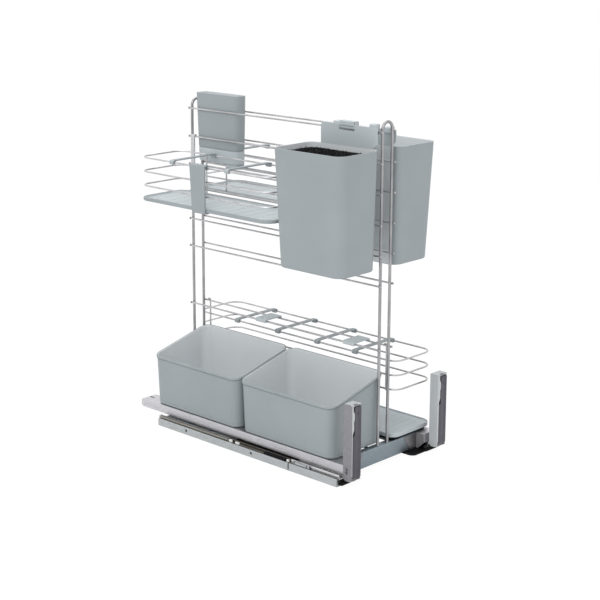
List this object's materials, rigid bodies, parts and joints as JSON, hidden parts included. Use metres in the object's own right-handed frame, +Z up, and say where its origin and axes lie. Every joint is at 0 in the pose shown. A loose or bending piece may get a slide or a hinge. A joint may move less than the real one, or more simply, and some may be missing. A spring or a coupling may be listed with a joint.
{
  "type": "pull-out kitchen basket",
  "caption": "Narrow full-height pull-out unit: a wire frame on two runners, hung with wire baskets, bins and a slim holder, with tubs and a bottle tray on its base.",
  "frame": {"origin": "on the cabinet floor, centre of the closed unit's footprint", "axes": "+Z up, -Y the way the unit pulls out and where the door is, +X to the right for someone who stands in front and looks into the cabinet"},
  "size_m": [0.264, 0.512, 0.585],
  "materials": {
    "wire": "bright plated steel wire",
    "zinc_sheet": "zinc-plated sheet steel",
    "bracket": "light silver paint",
    "bracket_front": "dark grey paint",
    "middle_rail": "oiled rolled steel",
    "screw": "zinc-plated",
    "cage": "natural white plastic",
    "lever": "black moulded plastic",
    "grey_plastic": "satin moulded plastic",
    "insert": "black moulded plastic",
    "bristles": "black plastic bristles"
  },
  "bodies": {
    "cabinet": {"cabinet_rail_left": "zinc_sheet", "cabinet_rail_right": "zinc_sheet"},
    "carriage": {"hoop_front": "wire", "hoop_rear": "wire", "crossbar_front": "zinc_sheet", "crossbar_rear": "zinc_sheet", "floor_wires": "wire", "frame_wires_left": "wire", "frame_wires_right": "wire", "side_rail_left": "zinc_sheet", "side_rail_right": "zinc_sheet", "drawer_rail_left": "zinc_sheet", "drawer_rail_right": "zinc_sheet", "door_bracket_left": "bracket", "door_bracket_right": "bracket", "bracket_screws_left": "screw", "bracket_screws_right": "screw", "lever_block_left": "lever", "lever_block_right": "lever"},
    "lower_cage_left": {"lower_cage_left": "cage"},
    "middle_rail_left": {"middle_rail_left": "middle_rail"},
    "upper_cage_left": {"upper_cage_left": "cage"},
    "door_plate_left": {"door_plate_left": "bracket_front"},
    "release_lever_left": {"release_lever_left": "lever"},
    "upper_basket_left": {"upper_basket_left": "wire", "upper_tray_left": "grey_plastic", "upper_clip_left": "grey_plastic"},
    "divider_left_1": {"divider_left_1": "grey_plastic"},
    "divider_left_2": {"divider_left_2": "grey_plastic"},
    "tall_bin_left": {"tall_bin_left": "grey_plastic"},
    "lower_cage_right": {"lower_cage_right": "cage"},
    "middle_rail_right": {"middle_rail_right": "middle_rail"},
    "upper_cage_right": {"upper_cage_right": "cage"},
    "door_plate_right": {"door_plate_right": "bracket_front"},
    "release_lever_right": {"release_lever_right": "lever"},
    "upper_basket_right": {"upper_basket_right": "wire", "upper_tray_right": "grey_plastic", "upper_clip_right": "grey_plastic"},
    "divider_right_1": {"divider_right_1": "grey_plastic"},
    "divider_right_2": {"divider_right_2": "grey_plastic"},
    "tall_bin_right": {"tall_bin_right": "grey_plastic"},
    "insert": {"insert_case": "insert", "bristle_block": "bristles"},
    "slim_holder": {"slim_holder": "grey_plastic"},
    "bottle_basket": {"bottle_basket": "wire"},
    "bottle_divider_1": {"bottle_divider_1": "grey_plastic"},
    "bottle_divider_2": {"bottle_divider_2": "grey_plastic"},
    "bottle_divider_3": {"bottle_divider_3": "grey_plastic"},
    "bottle_divider_4": {"bottle_divider_4": "grey_plastic"},
    "saddle_clip_1": {"saddle_clip_1": "grey_plastic"},
    "saddle_clip_2": {"saddle_clip_2": "grey_plastic"},
    "tub_front": {"tub_front": "grey_plastic"},
    "tub_rear": {"tub_rear": "grey_plastic"},
    "bottle_mat": {"bottle_mat": "grey_plastic"}
  },
  "joints": [
    {"name": "pull_out", "type": "slide", "parent": "cabinet", "child": "carriage", "axis": [0, -1, 0], "range_m": [0, 0.4]},
    {"name": "lower_cage_left_slide", "type": "slide", "parent": "cabinet", "child": "lower_cage_left", "axis": [0, -1, 0], "range_m": [0, 0.1]},
    {"name": "middle_rail_left_slide", "type": "slide", "parent": "cabinet", "child": "middle_rail_left", "axis": [0, -1, 0], "range_m": [0, 0.2]},
    {"name": "upper_cage_left_slide", "type": "slide", "parent": "cabinet", "child": "upper_cage_left", "axis": [0, -1, 0], "range_m": [0, 0.3]},
    {"name": "door_plate_left_setting", "type": "slide", "parent": "carriage", "child": "door_plate_left", "axis": [0, 0, 1], "range_m": [-0.0025, 0.0025]},
    {"name": "release_lever_left_turn", "type": "hinge", "parent": "carriage", "child": "release_lever_left", "pos_m": [-0.072, -0.21, 0.004], "axis": [0, 0, 1], "range_deg": [0, 8], "stiffness_Nm_per_rad": 0.5},
    {"name": "upper_basket_left_lift_off", "type": "slide", "parent": "carriage", "child": "upper_basket_left", "axis": [-0.7071, 0, 0.7071], "range_m": [0, 0.17]},
    {"name": "divider_left_1_slide", "type": "slide", "parent": "upper_basket_left", "child": "divider_left_1", "axis": [0, 1, 0], "range_m": [-0.055, 0.04]},
    {"name": "divider_left_2_slide", "type": "slide", "parent": "upper_basket_left", "child": "divider_left_2", "axis": [0, 1, 0], "range_m": [-0.04, 0.009]},
    {"name": "tall_bin_left_lift_out", "type": "slide", "parent": "carriage", "child": "tall_bin_left", "axis": [0, 0, 1], "range_m": [0, 0.26]},
    {"name": "lower_cage_right_slide", "type": "slide", "parent": "cabinet", "child": "lower_cage_right", "axis": [0, -1, 0], "range_m": [0, 0.1]},
    {"name": "middle_rail_right_slide", "type": "slide", "parent": "cabinet", "child": "middle_rail_right", "axis": [0, -1, 0], "range_m": [0, 0.2]},
    {"name": "upper_cage_right_slide", "type": "slide", "parent": "cabinet", "child": "upper_cage_right", "axis": [0, -1, 0], "range_m": [0, 0.3]},
    {"name": "door_plate_right_setting", "type": "slide", "parent": "carriage", "child": "door_plate_right", "axis": [0, 0, 1], "range_m": [-0.0025, 0.0025]},
    {"name": "release_lever_right_turn", "type": "hinge", "parent": "carriage", "child": "release_lever_right", "pos_m": [0.072, -0.21, 0.004], "axis": [0, 0, -1], "range_deg": [0, 8], "stiffness_Nm_per_rad": 0.5},
    {"name": "upper_basket_right_lift_off", "type": "slide", "parent": "carriage", "child": "upper_basket_right", "axis": [0.7071, 0, 0.7071], "range_m": [0, 0.17]},
    {"name": "divider_right_1_slide", "type": "slide", "parent": "upper_basket_right", "child": "divider_right_1", "axis": [0, 1, 0], "range_m": [-0.055, 0.04]},
    {"name": "divider_right_2_slide", "type": "slide", "parent": "upper_basket_right", "child": "divider_right_2", "axis": [0, 1, 0], "range_m": [-0.04, 0.003]},
    {"name": "tall_bin_right_lift_out", "type": "slide", "parent": "carriage", "child": "tall_bin_right", "axis": [0, 0, 1], "range_m": [0, 0.26]},
    {"name": "insert_lift_out", "type": "slide", "parent": "tall_bin_left", "child": "insert", "axis": [0, 0, 1], "range_m": [0, 0.25]},
    {"name": "slim_holder_lift_out", "type": "slide", "parent": "carriage", "child": "slim_holder", "axis": [0, 0, 1], "range_m": [0, 0.13]},
    {"name": "bottle_basket_lift_off", "type": "slide", "parent": "carriage", "child": "bottle_basket", "axis": [0.7071, 0, 0.7071], "range_m": [0, 0.17]},
    {"name": "bottle_divider_1_slide", "type": "slide", "parent": "bottle_basket", "child": "bottle_divider_1", "axis": [0, 1, 0], "range_m": [-0.038, 0.038]},
    {"name": "bottle_divider_2_slide", "type": "slide", "parent": "bottle_basket", "child": "bottle_divider_2", "axis": [0, 1, 0], "range_m": [-0.038, 0.038]},
    {"name": "bottle_divider_3_slide", "type": "slide", "parent": "bottle_basket", "child": "bottle_divider_3", "axis": [0, 1, 0], "range_m": [-0.038, 0.038]},
    {"name": "bottle_divider_4_slide", "type": "slide", "parent": "bottle_basket", "child": "bottle_divider_4", "axis": [0, 1, 0], "range_m": [-0.038, 0.038]},
    {"name": "saddle_clip_1_slide", "type": "slide", "parent": "carriage", "child": "saddle_clip_1", "axis": [0, 1, 0], "range_m": [-0.03, 0.08]},
    {"name": "saddle_clip_2_slide", "type": "slide", "parent": "carriage", "child": "saddle_clip_2", "axis": [0, 1, 0], "range_m": [-0.08, 0.14]},
    {"name": "tub_front_take_out", "type": "slide", "parent": "carriage", "child": "tub_front", "axis": [-1, 0, 0], "range_m": [0, 0.15]},
    {"name": "tub_rear_take_out", "type": "slide", "parent": "carriage", "child": "tub_rear", "axis": [-1, 0, 0], "range_m": [0, 0.15]},
    {"name": "bottle_mat_take_out", "type": "slide", "parent": "carriage", "child": "bottle_mat", "axis": [1, 0, 0], "range_m": [0, 0.15]}
  ],
  "couplings": [
    {"joint": "lower_cage_left_slide", "follows": "pull_out", "ratio": 0.25},
    {"joint": "middle_rail_left_slide", "follows": "pull_out", "ratio": 0.5},
    {"joint": "upper_cage_left_slide", "follows": "pull_out", "ratio": 0.75},
    {"joint": "lower_cage_right_slide", "follows": "pull_out", "ratio": 0.25},
    {"joint": "middle_rail_right_slide", "follows": "pull_out", "ratio": 0.5},
    {"joint": "upper_cage_right_slide", "follows": "pull_out", "ratio": 0.75}
  ]
}
